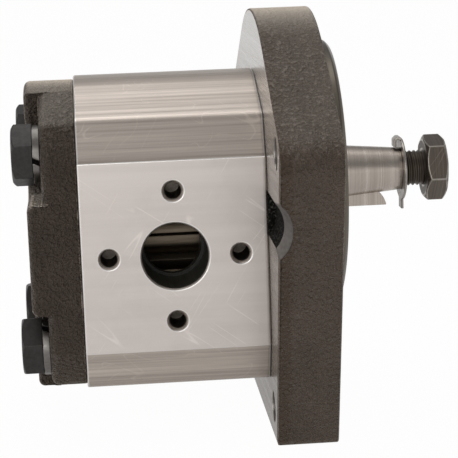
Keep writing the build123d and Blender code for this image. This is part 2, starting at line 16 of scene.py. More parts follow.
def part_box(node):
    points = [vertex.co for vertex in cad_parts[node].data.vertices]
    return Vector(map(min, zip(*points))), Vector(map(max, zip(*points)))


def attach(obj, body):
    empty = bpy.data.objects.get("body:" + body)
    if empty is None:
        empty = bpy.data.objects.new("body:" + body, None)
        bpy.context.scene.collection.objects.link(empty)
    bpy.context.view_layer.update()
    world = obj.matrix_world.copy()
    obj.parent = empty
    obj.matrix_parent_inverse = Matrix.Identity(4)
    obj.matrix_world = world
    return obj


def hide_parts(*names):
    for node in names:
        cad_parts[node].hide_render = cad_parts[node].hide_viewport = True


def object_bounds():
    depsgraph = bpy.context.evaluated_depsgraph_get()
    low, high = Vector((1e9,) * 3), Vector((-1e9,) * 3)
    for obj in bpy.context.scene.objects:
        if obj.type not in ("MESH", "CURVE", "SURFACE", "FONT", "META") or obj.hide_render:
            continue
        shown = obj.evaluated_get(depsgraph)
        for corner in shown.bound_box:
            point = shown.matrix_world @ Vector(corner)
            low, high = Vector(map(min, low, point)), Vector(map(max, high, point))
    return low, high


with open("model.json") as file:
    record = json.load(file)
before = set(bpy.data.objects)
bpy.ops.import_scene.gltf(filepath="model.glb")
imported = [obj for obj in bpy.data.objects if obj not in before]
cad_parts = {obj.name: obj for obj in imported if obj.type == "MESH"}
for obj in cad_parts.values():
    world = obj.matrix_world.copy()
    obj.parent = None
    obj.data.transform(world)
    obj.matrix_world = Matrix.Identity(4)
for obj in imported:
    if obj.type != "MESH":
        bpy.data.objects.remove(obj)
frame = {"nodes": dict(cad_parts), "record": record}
nodes = frame["nodes"]
cad_low, cad_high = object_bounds()
print("model size in mm", [round(1000 * v, 1) for v in cad_high - cad_low])

# %% [markdown]
# ## Where things are
#
# Each place is read from the box of a part, so the finishing work follows the model if a size
# changes there. All lengths are in metres, and MM turns millimetres into them.

# %% Places read from the model
MM = 0.001
flange_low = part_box("flange")[0]
body_low, body_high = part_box("pump_body")
screws_low, screws_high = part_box("cover_screws")
washers_low, washers_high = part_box("lock_washers")
tab_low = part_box("tab_washer")[0]
shaft_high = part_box("drive_gear_shaft")[1]
driven_low, driven_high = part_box("driven_gear_shaft")

joint_x = body_high.x
cover_joint_x = body_low.x
pad_y = body_high.y
driven_z = (driven_low.z + driven_high.z) / 2
port_z = driven_z / 2
port_x = (joint_x + cover_joint_x) / 2
print("flange back face at", round(joint_x / MM, 2), "and cover joint at", round(cover_joint_x / MM, 2))

# %% [markdown]
# ## The camera
#
# The picture was taken with a long lens from a little above the inlet side. The camera's place
# and its three turns come from fitting the edges of the pump, so the model lands on the picture.
# Turning about Z, then X, then the lens axis keeps each angle readable by itself.

# %% Set the camera
camera_data = bpy.data.cameras.new("camera")
camera = bpy.data.objects.new("camera", camera_data)
bpy.context.scene.collection.objects.link(camera)
camera_place = Vector((-70.45, -551.61, 93.88)) * MM
camera_pan = radians(4.454)
camera_dip = radians(11.357)
camera_roll = radians(1.963)
camera_turn = (
    Matrix.Rotation(-camera_pan, 4, "Z")
    @ Matrix.Rotation(pi / 2 - camera_dip, 4, "X")
    @ Matrix.Rotation(-camera_roll, 4, "Z")
)
camera.matrix_world = Matrix.Translation(camera_place) @ camera_turn
camera_data.sensor_width = 36.0
camera_data.lens = 137.24
camera_data.clip_start = 0.01
bpy.context.scene.camera = camera
print("lens", camera_data.lens, "mm from", round(camera_place.length, 3), "m away")

# %% [markdown]
# ## Materials in code
#
# A material is a small tree of nodes that ends in a Principled shader. It could be wired by hand
# in the shader editor. In code the same few steps come back all the time, so helpers take them
# up. Each material is kept under its name, so the parts can ask for it later. Most sockets take
# either a link or a value, and feed settles which. Colours are written as red, green and blue,
# and get their opacity only where a socket asks for it.

# %% Helpers for materials and colours
finishes = {}


def new_finish(name):
    """Starts a material and keeps it under its name; gives its node tree and its shader."""
    material = bpy.data.materials.new(name)
    material.use_nodes = True
    finishes[name] = material
    return material.node_tree, material.node_tree.nodes["Principled BSDF"]


def feed(tree, value, socket):
    """Links an output to a socket, or writes a number or a colour there."""
    if isinstance(value, bpy.types.NodeSocket):
        tree.links.new(value, socket)
    elif isinstance(value, tuple):
        socket.default_value = (*value, 1.0)
    else:
        socket.default_value = value


def shade(colour, share):
    """The same colour, darker where the share is under 1 and lighter where it is over 1."""
    return tuple(share * part for part in colour)


def mix_colour(tree, factor, first, second):
    """Mixes two colours by a factor from 0 to 1."""
    node = tree.nodes.new("ShaderNodeMix")
    node.data_type = "RGBA"
    for number, value in ((0, factor), (6, first), (7, second)):
        feed(tree, value, node.inputs[number])
    return node.outputs[2]


print("colour helpers ready")

# %% [markdown]
# A finish changes over a surface by arithmetic on masks, which are numbers from 0 to 1. A Math
# node takes one step of it. A Map Range node turns a stretch of values into a mask with soft or
# hard edges, which is easier to read than the sums behind it.

# %% Helpers for numbers
def calculate(tree, operation, first, second=0.0, third=0.0, clamp=False):
    """One step of arithmetic on outputs or numbers."""
    node = tree.nodes.new("ShaderNodeMath")
    node.operation = operation
    node.use_clamp = clamp
    for socket, value in zip(node.inputs, (first, second, third)):
        feed(tree, value, socket)
    return node.outputs[0]


def remap(tree, value, low, high, to_low=0.0, to_high=1.0):
    """Stretches a value from one range to another and holds it inside."""
    node = tree.nodes.new("ShaderNodeMapRange")
    node.clamp = True
    feed(tree, value, node.inputs["Value"])
    for label, limit in (("From Min", low), ("From Max", high), ("To Min", to_low), ("To Max", to_high)):
        node.inputs[label].default_value = limit
    return node.outputs["Result"]


def part_of(tree, vector, axis):
    """One of the three numbers of a vector, named X, Y or Z."""
    node = tree.nodes.new("ShaderNodeSeparateXYZ")
    feed(tree, vector, node.inputs[0])
    return node.outputs[axis]


print("number helpers ready")

# %% [markdown]
# Every pattern here is noise at a place. The place is the point's Object coordinate, which is the
# pump's own metres on each piece, so a pattern runs on from one face to the next and its sizes
# are true. An unwrapped map would show a seam at every edge of a casting. Noise becomes lines
# when its coordinates are squeezed along one axis, and becomes relief through a Bump node.

# %% Helpers for patterns
def coordinates(tree, kind):
    """Coordinates of the shaded point, of the kind named."""
    return tree.nodes.new("ShaderNodeTexCoord").outputs[kind]


def noise(tree, where, scale, detail=4.0, roughness=0.5):
    """Noise at a scale given in bumps a metre."""
    node = tree.nodes.new("ShaderNodeTexNoise")
    feed(tree, where, node.inputs["Vector"])
    feed(tree, scale, node.inputs["Scale"])
    node.inputs["Detail"].default_value = detail
    node.inputs["Roughness"].default_value = roughness
    return node.outputs["Fac"]


def stretched(tree, where, along):
    """Coordinates multiplied along X, Y and Z, so that noise on them turns into lines."""
    node = tree.nodes.new("ShaderNodeVectorMath")
    node.operation = "MULTIPLY"
    feed(tree, where, node.inputs[0])
    node.inputs[1].default_value = along
    return node.outputs[0]


def bump(tree, shader, height, distance):
    """Puts a height on the shader's normal; the distance is in metres."""
    node = tree.nodes.new("ShaderNodeBump")
    node.inputs["Strength"].default_value = 1.0
    node.inputs["Distance"].default_value = distance
    feed(tree, height, node.inputs["Height"])
    feed(tree, node.outputs["Normal"], shader.inputs["Normal"])


print("pattern helpers ready")

# %% [markdown]
# ## Shared effects
#
# Three effects turn up on several finishes: the skin of a casting, the lines of a drawn or turned
# metal, and the marks of handling. Each could be wired again in every material. A node group is
# built once instead, and a change to it then reaches every finish that uses it. The groups give
# heights and masks only, and each material decides what to do with them.

# %% Helpers for groups
def new_group(name, inputs, outputs):
    """Empty group that takes a vector and the numbers named; gives it with its two ends."""
    group = bpy.data.node_groups.new(name, "ShaderNodeTree")
    group.interface.new_socket("Vector", in_out="INPUT", socket_type="NodeSocketVector")
    for label in inputs:
        group.interface.new_socket(label, in_out="INPUT", socket_type="NodeSocketFloat")
    for label in outputs:
        group.interface.new_socket(label, in_out="OUTPUT", socket_type="NodeSocketFloat")
    return group, group.nodes.new("NodeGroupInput").outputs, group.nodes.new("NodeGroupOutput").inputs


def place_group(tree, group, where, **values):
    """Puts a group in a material with its own values and gives the group's outputs."""
    node = tree.nodes.new("ShaderNodeGroup")
    node.node_tree = group
    feed(tree, where, node.inputs["Vector"])
    for name, value in values.items():
        node.inputs[name.capitalize()].default_value = value
    return node.outputs


print("group helpers ready")

# %% [markdown]
# The skin of a sand casting is rounded lumps with a finer grain on them. Two noises added with
# different weights give that relief. The tops of it are a mask of their own, because the painted
# glints sit there. A slow drift with some of the grain in it mottles the colour, as no casting
# is one grey.

# %% Cast skin
grain_in_height = 0.4
grain_in_mottle = 0.45
drift_scale = 70.0
cast_skin, taken, given = new_group("cast_skin", ["Grain", "Lumps"], ["Height", "Mottle", "Peaks"])
grain = noise(cast_skin, taken["Vector"], taken["Grain"], detail=1.0, roughness=0.6)
lumps = noise(cast_skin, taken["Vector"], taken["Lumps"], detail=1.0)
skin_height = calculate(cast_skin, "MULTIPLY_ADD", grain, grain_in_height, lumps)
feed(cast_skin, skin_height, given["Height"])
feed(cast_skin, remap(cast_skin, skin_height, 0.74, 0.95), given["Peaks"])
drift = noise(cast_skin, taken["Vector"], drift_scale, detail=3.0, roughness=0.6)
grain_mask = remap(cast_skin, grain, 0.35, 0.7)
mottle = calculate(cast_skin, "MULTIPLY_ADD", grain_mask, grain_in_mottle, drift)
feed(cast_skin, remap(cast_skin, mottle, 0.35, 1.05), given["Mottle"])
print("cast skin:", len(cast_skin.nodes), "nodes")

# %% [markdown]
# A die or a cutter leaves fine lines, and bands of them that are lighter or darker. The group
# gets coordinates that are squeezed already, so it needs no direction of its own. The same
# coordinates, slowed down, make the broad bands.

# %% Drawn lines
slowed = (0.13, 0.13, 0.13)
band_in_tone = 0.7
drawn_lines, taken, given = new_group("drawn_lines", [], ["Height", "Tone"])
fine_lines = noise(drawn_lines, taken["Vector"], 1.0, roughness=0.65)
broad_lines = noise(drawn_lines, stretched(drawn_lines, taken["Vector"], slowed), 1.0, detail=2.0)
feed(drawn_lines, fine_lines, given["Height"])
line_tone = calculate(drawn_lines, "MULTIPLY_ADD", broad_lines, band_in_tone, fine_lines)
feed(drawn_lines, remap(drawn_lines, line_tone, 0.5, 1.2), given["Tone"])
print("drawn lines:", len(drawn_lines.nodes), "nodes")

# %% [markdown]
# A pump that has been on a shelf has faint blotches and a few thin scratches. Scratches could be
# drawn one by one as curves. Noise gives them too: where a long, slow noise passes its middle
# value it leaves a thin line, and a second noise keeps only short stretches of it. A Mapping node
# of the texture kind slants the lines, because it turns the coordinates before it stretches them.

# %% Handling marks
scratch_scale = (60 * MM, 4 * MM, 4 * MM)
scratch_edges = (0.003, 0.014)
handling, taken, given = new_group("handling_marks", [], ["Blotches", "Scratches"])
blotches = noise(handling, taken["Vector"], 45.0, detail=5.0, roughness=0.62)
feed(handling, remap(handling, blotches, 0.5, 0.72), given["Blotches"])
scratches = 0.0
for slant, patch_scale in ((38, 55.0), (-57, 80.0)):
    slanted = handling.nodes.new("ShaderNodeMapping")
    slanted.vector_type = "TEXTURE"
    slanted.inputs["Rotation"].default_value = (0.0, radians(slant), 0.0)
    slanted.inputs["Scale"].default_value = scratch_scale
    feed(handling, taken["Vector"], slanted.inputs["Vector"])
    winding = noise(handling, slanted.outputs["Vector"], 1.0, detail=0.0)
    off_line = calculate(handling, "ABSOLUTE", calculate(handling, "SUBTRACT", winding, 0.5))
    patches = noise(handling, taken["Vector"], patch_scale, detail=1.0)
    line = remap(handling, off_line, *scratch_edges, 1.0, 0.0)
    line = calculate(handling, "MULTIPLY", line, remap(handling, patches, 0.53, 0.60))
    scratches = calculate(handling, "MAXIMUM", line, scratches)
feed(handling, scratches, given["Scratches"])
print("handling marks:", len(handling.nodes), "nodes")

# %% [markdown]
# ## Cast iron
#
# The two castings are dark and matt, and their colour moves between brown and grey. It is laid
# down in layers, each a mix over the one before: the mottled skin, patches that are rubbed bare
# on the edges, and a brown stain near the flange's back face. Upward faces get three more layers,
# mostly painted light: painted glints on the grains, a dusting that is partly painted top light,
# and a painted pale reflection that turns the whole crown pale at a flat angle.

# %% Layers of a casting
# A painted glint colour, for light caught by the tops of the grains.
painted_glint_grey = (0.26, 0.225, 0.195)
# Dusting mixed with painted top light, for paler upward faces.
dust_and_top_light_grey = (0.38, 0.345, 0.305)
# A painted reflection colour, for the pale crown at a grazing angle.
painted_sheen_grey = (0.66, 0.61, 0.54)
stain_brown = (0.034, 0.021, 0.013)
stain_raggedness = 2.4 * MM


def mottled(tree, skin, marks, dark, light):
    """Colour between dark and light by the skin, with paler blotches of handling."""
    colour = mix_colour(tree, skin["Mottle"], dark, light)
    faint = calculate(tree, "MULTIPLY", marks["Blotches"], 0.25)
    return mix_colour(tree, faint, colour, shade(light, 1.5))


def rubbed_bare(tree, skin, marks, colour, bare):
    """Patches that are worn through to the metal."""
    rubbed = calculate(tree, "MULTIPLY_ADD", skin["Mottle"], 0.7, marks["Blotches"])
    return mix_colour(tree, remap(tree, rubbed, 0.3, 1.0), colour, bare)


def browned(tree, where, skin, colour, full, clean):
    """Ragged brown stain, full at one place along X and gone at the other."""
    ragged = calculate(tree, "MULTIPLY_ADD", skin["Mottle"], stain_raggedness, part_of(tree, where, "X"))
    return mix_colour(tree, remap(tree, ragged, full, clean, 0.75, 0.0), colour, stain_brown)


def painted_top_light_and_dust(tree, skin, colour, dust_and_light):
    """Painted glints, a dusting with painted top light and a painted pale reflection at a grazing angle, all
    on upward faces; gives the colour and the reflection's mask.
    """
    upward = part_of(tree, coordinates(tree, "Normal"), "Z")
    # Painted glints: grain tops on upward faces are mixed towards a light grey, as if light caught them.
    painted_glint = calculate(tree, "MULTIPLY", skin["Peaks"], remap(tree, upward, 0.2, 0.95, 0.06, 0.75))
    colour = mix_colour(tree, painted_glint, colour, painted_glint_grey)
    # Dusting with painted top light: upward faces are mixed paler in patches, partly a real dusting and
    # partly light from above painted into the colour.
    dust_and_top_light = remap(tree, skin["Mottle"], 0.2, 0.8, 0.5 * dust_and_light, dust_and_light)
    dust_and_top_light = calculate(tree, "MULTIPLY", dust_and_top_light, remap(tree, upward, 0.4, 0.95))
    colour = mix_colour(tree, dust_and_top_light, colour, dust_and_top_light_grey)
    # Painted reflection: at a grazing angle, upward faces are mixed towards a pale grey, for the sky
    # mirrored on the crown.
    grazing = remap(tree, tree.nodes.new("ShaderNodeLayerWeight").outputs["Facing"], 0.5, 0.84)
    painted_sheen = calculate(tree, "MULTIPLY", grazing, remap(tree, upward, 0.8, 1.0))
    return mix_colour(tree, painted_sheen, colour, painted_sheen_grey), painted_sheen


print("layers of a casting ready")

# %% [markdown]
# One function puts the layers together for the flange, the cover and the cover's worn edges, which
# differ in colour, relief and how much dusting and painted top light they get. The paler the mottle,
# the smoother the skin. The painted pale reflection also raises Metallic, because a rough metal
# mirrors the sky at a flat angle as the crown does.

# %% Cast finishes
grains_a_metre = 2200.0
lumps_a_metre = 850.0


def cast_iron(name, dark, light, relief, dust_and_light, bare=None, stained=None):
    """Casting between two colours, its grains as high as relief and its top paler by the share given:
    dusting and painted top light.

    It can be rubbed bare in patches, or stained between two places along X.
    """
    tree, shader = new_finish(name)
    where = coordinates(tree, "Object")
    skin = place_group(tree, cast_skin, where, grain=grains_a_metre, lumps=lumps_a_metre)
    marks = place_group(tree, handling, where)
    colour = mottled(tree, skin, marks, dark, light)
    if bare:
        colour = rubbed_bare(tree, skin, marks, colour, bare)
    if stained:
        colour = browned(tree, where, skin, colour, *stained)
    colour, painted_sheen = painted_top_light_and_dust(tree, skin, colour, dust_and_light)
    feed(tree, colour, shader.inputs["Base Color"])
    feed(tree, remap(tree, painted_sheen, 0.0, 1.0, 0.3, 0.9), shader.inputs["Metallic"])
    feed(tree, remap(tree, skin["Mottle"], 0.0, 1.0, 0.56, 0.36), shader.inputs["Roughness"])
    shader.inputs["Specular Tint"].default_value = (1.0, 0.80, 0.64, 1)
    shader.inputs["Specular IOR Level"].default_value = 0.75
    shader.inputs["Sheen Weight"].default_value = 0.12
    shader.inputs["Sheen Roughness"].default_value = 0.4
    shader.inputs["Sheen Tint"].default_value = (1.0, 0.92, 0.84, 1)
    bump(tree, shader, skin["Height"], relief)


stain_ends = (joint_x + 4.0 * MM, joint_x + 5.2 * MM)
cover_dark = (0.020, 0.015, 0.012)
cover_light = (0.042, 0.032, 0.026)
# The fifth number is the share of dusting and painted top light on upward faces.
cast_iron("cast_flange", (0.042, 0.032, 0.025), (0.070, 0.053, 0.042), 2.0 * MM, 0.19, stained=stain_ends)
cast_iron("cast_cover", cover_dark, cover_light, 2.0 * MM, 0.40)
cast_iron("cast_edge", cover_dark, cover_light, 0.2 * MM, 0.34, bare=(0.30, 0.26, 0.23))
print("cast finishes:", sorted(finishes))

# %% [markdown]
# The channel beside each port is a deep, raw part of the casting. Its colour is nearly black, which
# is painted shade for the deep channel, with pale specks of sand and metal. One fine noise gives the
# relief, and through a hard mask the specks, so they sit on its bumps. A high roughness keeps the
# channel from shining.

# %% Raw channel
# Near black: painted shade for the deep channel.
channel_painted_shade_black = (0.004, 0.0038, 0.003)
speck_grey = (0.10, 0.094, 0.082)
tree, shader = new_finish("raw_channel_painted_shade")
specks = noise(tree, coordinates(tree, "Object"), 1500.0, detail=3.0, roughness=0.6)
speckled = mix_colour(tree, remap(tree, specks, 0.54, 0.66), channel_painted_shade_black, speck_grey)
feed(tree, speckled, shader.inputs["Base Color"])
shader.inputs["Roughness"].default_value = 0.9
shader.inputs["Specular IOR Level"].default_value = 0.1
bump(tree, shader, specks, 0.8 * MM)
print("raw channel:", len(tree.nodes), "nodes")

# %% [markdown]
# ## Machined and drawn metals
#
# They share one recipe: a bright metal whose fine lines run one way, a little soiled, and here and
# there scratched or browner towards one end, as the body is with oil at its joint and the flange's
# back face is lower down. The direction is set by how much the coordinates are multiplied along X,
# Y and Z. A small number keeps a line long that way, and a large one puts lines close together. The
# lines change tone, roughness and height at once, as real ones do.

# %% Lined metals
brown_tint = (0.19, 0.162, 0.14)


def lined_metal(name, dark, light, roughness, lines, depth, metallic=1.0, scratched=0.0, stained=None):
    """Metal with lines in its tone and height; lines says how close they are along X, Y and Z.

    Stained names an axis, the place along it where the brown is full and the place where it ends.
    """
    tree, shader = new_finish(name)
    where = coordinates(tree, "Object")
    pattern = place_group(tree, drawn_lines, stretched(tree, where, lines))
    marks = place_group(tree, handling, where)
    colour = mix_colour(tree, pattern["Tone"], dark, light)
    soiled = calculate(tree, "MULTIPLY", marks["Blotches"], 0.22)
    colour = mix_colour(tree, soiled, colour, shade(light, 0.62))
    if scratched:
        scratch = calculate(tree, "MULTIPLY", marks["Scratches"], scratched)
        colour = mix_colour(tree, scratch, colour, shade(light, 1.25))
    if stained:
        axis, full, clean = stained
        brown = remap(tree, part_of(tree, where, axis), clean, full)
        brown = calculate(tree, "MULTIPLY", brown, remap(tree, pattern["Tone"], 0.0, 1.0, 1.0, 0.8))
        colour = mix_colour(tree, brown, colour, brown_tint)
    feed(tree, colour, shader.inputs["Base Color"])
    rough = remap(tree, pattern["Tone"], 0.0, 1.0, roughness + 0.07, roughness - 0.07)
    feed(tree, rough, shader.inputs["Roughness"])
    shader.inputs["Metallic"].default_value = metallic
    bump(tree, shader, pattern["Height"], depth)


print("lined metal ready")

# %% [markdown]
# The body is drawn through a die, so its lines run along X. Its two port pads are milled smoother,
# with lines further apart and closer in tone, and they show the scratches best. Oil creeps out of
# the joint with the flange, and the broken edges of the body are the brightest metal on it.

# %% Finishes of the body
drawn_along = (11.0, 1100.0, 1100.0)
milled_along = (9.0, 260.0, 260.0)
edge_along = (14.0, 1900.0, 1900.0)
joint_stain = ("X", joint_x, joint_x - 1.3 * MM)
lined_metal("extruded_body", (0.30, 0.261, 0.229), (0.68, 0.601, 0.538), 0.38, drawn_along,
            0.02 * MM, metallic=0.85, scratched=0.2, stained=joint_stain)
lined_metal("milled_pad", (0.555, 0.503, 0.470), (0.635, 0.580, 0.545), 0.40, milled_along,
            0.002 * MM, metallic=0.85, scratched=0.45, stained=joint_stain)
lined_metal("body_edge", (0.66, 0.63, 0.60), (0.80, 0.77, 0.74), 0.30, edge_along, 0.004 * MM)
print(len(finishes), "finishes so far")

# %% [markdown]
# Where the flange is machined, bare iron shows. Its front face and bores are grey. Its back face
# is the brightest at the top and browner lower down, beside the body. The pilot ring's wall is dark,
# the mouths of the channels are dull from the cutter, and the edge round the front face is rubbed.

# %% Finishes of machined iron
across = (2200.0, 40.0, 2200.0)
round_x = (2600.0, 8.0, 8.0)
# The back face is browner lower down, beside the body.
back_browner_low = ("Z", 8 * MM, 40 * MM)
lined_metal("milled_iron", (0.27, 0.245, 0.22), (0.44, 0.41, 0.375), 0.33, across, 0.012 * MM)
lined_metal("faced_back", (0.62, 0.59, 0.56), (0.80, 0.77, 0.74), 0.26, across,
            0.012 * MM, stained=back_browner_low)
# A dark finish for the pilot ring's wall.
lined_metal("dark_ring_iron", (0.085, 0.072, 0.056), (0.17, 0.15, 0.12), 0.32, round_x, 0.01 * MM, metallic=0.9)
lined_metal("cut_iron", (0.06, 0.058, 0.054), (0.13, 0.126, 0.118), 0.42, (900.0, 300.0, 900.0),
            0.02 * MM, metallic=0.8)
lined_metal("worn_edge", (0.12, 0.105, 0.09), (0.50, 0.46, 0.41), 0.30, (400.0, 400.0, 400.0), 0.01 * MM)
print(len(finishes), "finishes so far")

# %% [markdown]
# The ports are bored and then wet with oil. Their walls are a dark green grey, partly oil and partly
# painted shade for the deep bore, and the ledge deep inside is almost black, which is painted
# shade. The tapped holes beside them are drier and browner.

# %% Finishes of ports and tapped holes
# Port walls: oil and painted shade, far darker than the body's own metal.
lined_metal("port_wall_oil_and_painted_shade", (0.05, 0.051, 0.042), (0.14, 0.14, 0.118), 0.36, (900.0, 25.0, 900.0),
            0.02 * MM, metallic=0.7)
# Port ledge: near-black painted shade, so the ledge deep inside hardly shows.
lined_metal("port_ledge_painted_shade", (0.010, 0.010, 0.008), (0.026, 0.025, 0.020), 0.5, (900.0, 900.0, 900.0),
            0.02 * MM, metallic=0.5)
lined_metal("tapped_wall", (0.13, 0.112, 0.094), (0.30, 0.265, 0.23), 0.34, (900.0, 90.0, 900.0), 0.02 * MM)
print(len(finishes), "finishes so far")

# %% [markdown]
# The shaft is ground, so its lines run round it, and so do those of the nut and the thread. The
# gears carry an oil film that makes them brown, and their dark colour is partly painted shade for
# the teeth inside the pump. The clamping screws are black, and their washers are grey with zinc.
# The key, the dowels and the seals' springs share the shaft's finish.

# %% Finishes of shaft parts and fasteners
lined_metal("ground_steel", (0.28, 0.235, 0.20), (0.60, 0.54, 0.485), 0.30, round_x,
            0.012 * MM, scratched=0.12)
# Gear steel: browned by oil, and darker still as painted shade for the teeth inside the pump.
lined_metal("gear_steel", (0.09, 0.072, 0.052), (0.17, 0.138, 0.104), 0.40, (60.0, 900.0, 900.0), 0.004 * MM)
lined_metal("nut_steel", (0.055, 0.043, 0.034), (0.17, 0.142, 0.118), 0.42, round_x,
            0.02 * MM, metallic=0.8, scratched=0.7)
lined_metal("thread_steel", (0.05, 0.038, 0.028), (0.15, 0.125, 0.10), 0.40, round_x,
            0.01 * MM, metallic=0.8)
lined_metal("washer_steel", (0.17, 0.15, 0.13), (0.40, 0.37, 0.335), 0.33, (900.0, 400.0, 400.0),
            0.01 * MM, scratched=0.5)
lined_metal("zinc_washers", (0.11, 0.102, 0.094), (0.24, 0.225, 0.21), 0.36, (300.0, 700.0, 700.0),
            0.006 * MM)
lined_metal("black_screws", (0.016, 0.0145, 0.0135), (0.042, 0.038, 0.036), 0.44, (700.0, 700.0, 700.0),
            0.02 * MM, metallic=0.5, scratched=0.6)
print(len(finishes), "finishes so far")

# %% [markdown]
# The parts inside are not seen from outside, but they show when the pump is taken apart. The
# bearing blocks are turned aluminium, the bushes are bronze, and the circlip is dark spring
# steel. They use the same recipe with their own colours.

# %% Finishes of inner metal parts
lined_metal("spring_steel", (0.05, 0.05, 0.05), (0.14, 0.135, 0.13), 0.35, (900.0, 200.0, 200.0), 0.006 * MM)
lined_metal("block_aluminium", (0.50, 0.49, 0.47), (0.64, 0.63, 0.61), 0.36, round_x, 0.008 * MM)
lined_metal("bush_bronze", (0.36, 0.24, 0.12), (0.52, 0.37, 0.21), 0.34, round_x, 0.006 * MM)
print(len(finishes), "finishes so far")

# %% [markdown]
# Rubber and plastic are inside the pump and at its shaft. Both are plain, and only the blotches of
# the handling group break their surface.

# %% Rubber and plastic
def plain_finish(name, colour, roughness):
    """Non-metal in one colour, soiled a little."""
    tree, shader = new_finish(name)
    marks = place_group(tree, handling, coordinates(tree, "Object"))
    soiled = calculate(tree, "MULTIPLY", marks["Blotches"], 0.3)
    feed(tree, mix_colour(tree, soiled, colour, shade(colour, 0.7)), shader.inputs["Base Color"])
    shader.inputs["Roughness"].default_value = roughness


plain_finish("seal_rubber", (0.018, 0.017, 0.016), 0.48)
plain_finish("backup_plastic", (0.72, 0.69, 0.60), 0.42)
print(len(finishes), "finishes in all")

# %% [markdown]
# ## Finishes on the model's own parts
#
# The record says which slot each part takes its finish from. Every part gets its slot's finish
# here, and the parts that are worked on further down are copied with it.

# %% Put the finishes on
slot_of = {row["node"]: row["material_slot"] for row in frame["record"]["subparts"]}
bodies = frame["record"]["behaviour"]["bodies"]
body_of_node = {name: body for body, names in bodies.items() for name in names}
for name, node in nodes.items():
    node.data.materials.clear()
    node.data.materials.append(finishes[slot_of[name]])
print("finished", len(nodes), "parts in", len(set(slot_of.values())), "slots")

# %% [markdown]
# ## Softened copies
#
# The model's corners are knife sharp, and real ones never are: a casting is round at every corner
# and a machined edge is broken by a fraction of a millimetre. Such a band is what catches the
# light. It could be faked in the shader, but only real faces hold in a close view. Each part seen
# from outside is copied, and the copy is shaded smooth except at its sharp edges. Weighted
# normals keep large faces flat beside narrow bands.

# %% Helpers for one piece
def take_hold(piece):
    """Selects one piece alone and makes it the active one."""
    bpy.ops.object.select_all(action="DESELECT")
    piece.select_set(True)
    bpy.context.view_layer.objects.active = piece


def finish_normals(piece, angle=35.0):
    """Smooth shading across edges flatter than the angle, with large faces kept flat."""
    take_hold(piece)
    bpy.ops.object.shade_smooth_by_angle(angle=radians(angle))
    weighted = piece.modifiers.new("weighted", "WEIGHTED_NORMAL")
    weighted.keep_sharp = True
    bpy.ops.object.modifier_apply(modifier="weighted")


print("piece helpers ready")

# %% [markdown]
# A part of the model is a heap of loose triangles. They are merged into faces first, because a
# bevel needs to know which faces share an edge. The bevel then runs a band of one width round all
# corners, and the band can take a finish of its own. Where two faces meet at a grazing angle a
# bevel can throw a corner far out, so strays are put back on the part.

# %% Helpers for soft corners
merge_distance = 0.002 * MM
flat_angle = radians(0.4)
corner_angle = radians(28.0)
stray_share = 0.7


def merge_triangles(piece):
    """Joins a copy's loose triangles and dissolves the edges inside its flat faces."""
    take_hold(piece)
    if piece.data.has_custom_normals:
        bpy.ops.mesh.customdata_custom_splitnormals_clear()
    bpy.ops.object.mode_set(mode="EDIT")
    bpy.ops.mesh.select_all(action="SELECT")
    bpy.ops.mesh.remove_doubles(threshold=merge_distance)
    bpy.ops.mesh.dissolve_limited(angle_limit=flat_angle)
    bpy.ops.object.mode_set(mode="OBJECT")


def bevel_corners(piece, width, segments, band):
    """Runs a band round the corners, in a finish of its own if one is named."""
    bevel = piece.modifiers.new("corners", "BEVEL")
    bevel.width = width
    bevel.segments = segments
    bevel.limit_method = "ANGLE"
    bevel.angle_limit = corner_angle
    bevel.use_clamp_overlap = False
    if band:
        piece.data.materials.append(finishes[band])
        bevel.material = len(piece.data.materials) - 1
    bpy.ops.object.modifier_apply(modifier="corners")


def put_back_strays(piece, part, width):
    """Moves each vertex that the bevel threw off the part back to the nearest place on it."""
    for vertex in piece.data.vertices:
        found, place, _, _ = part.closest_point_on_mesh(vertex.co)
        if found and (place - vertex.co).length > stray_share * width:
            vertex.co = place


print("corner helpers ready")

# %% [markdown]
# The whole job is one function, because ten parts need it. The copy rides on the body of its
# part and stands for the part in the picture. Afterwards single faces can get another finish: a
# test looks at each face's centre and normal, which stays true when the model changes, while a
# list of face numbers would not.

# %% Helpers for copies
square_on = 0.98
slack = 0.1 * MM


def softened_copy(name, width, segments=2, band=None):
    """Copies a part, breaks its corners and lets the copy stand for the part."""
    piece = bpy.data.objects.new(name + "_soft", nodes[name].data.copy())
    bpy.context.scene.collection.objects.link(piece)
    merge_triangles(piece)
    bevel_corners(piece, width, segments, band)
    put_back_strays(piece, nodes[name], width)
    finish_normals(piece)
    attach(piece, body_of_node[name])
    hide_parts(name)
    return piece


def refinish(piece, finish, test):
    """Gives a finish to the faces that pass a test of their centre and normal; says how many."""
    piece.data.materials.append(finishes[finish])
    index = len(piece.data.materials) - 1
    count = 0
    for polygon in piece.data.polygons:
        if test(polygon.center, polygon.normal):
            polygon.material_index = index
            count += 1
    print(piece.name, "has", count, "faces in", finish)


def off_axis(point, y=0.0, z=0.0):
    """Distance of a point from a line along X."""
    return hypot(point.y - y, point.z - z)


print("copy helpers ready")

# %% [markdown]
# ## The flange
#
# The flange is cast and then machined on its two faces, the pilot ring, the seal bore and its
# holes. At the back only the middle is faced, and a raw margin stays along the leaning sides. The
# model has no edge there, so each margin's edge is cut into the back face with a bisect.

# %% Flange
flange = softened_copy("flange", 0.3 * MM)
side_angle = radians(17.12)
foot_y = 48.92 * MM
margin = 4.3 * MM


def past_margin(centre):
    """How far a point of the back face is past the machined area, towards the leaning side."""
    return (abs(centre.y) - foot_y) * cos(side_angle) - (centre.z - flange_low.z) * sin(side_angle) + margin


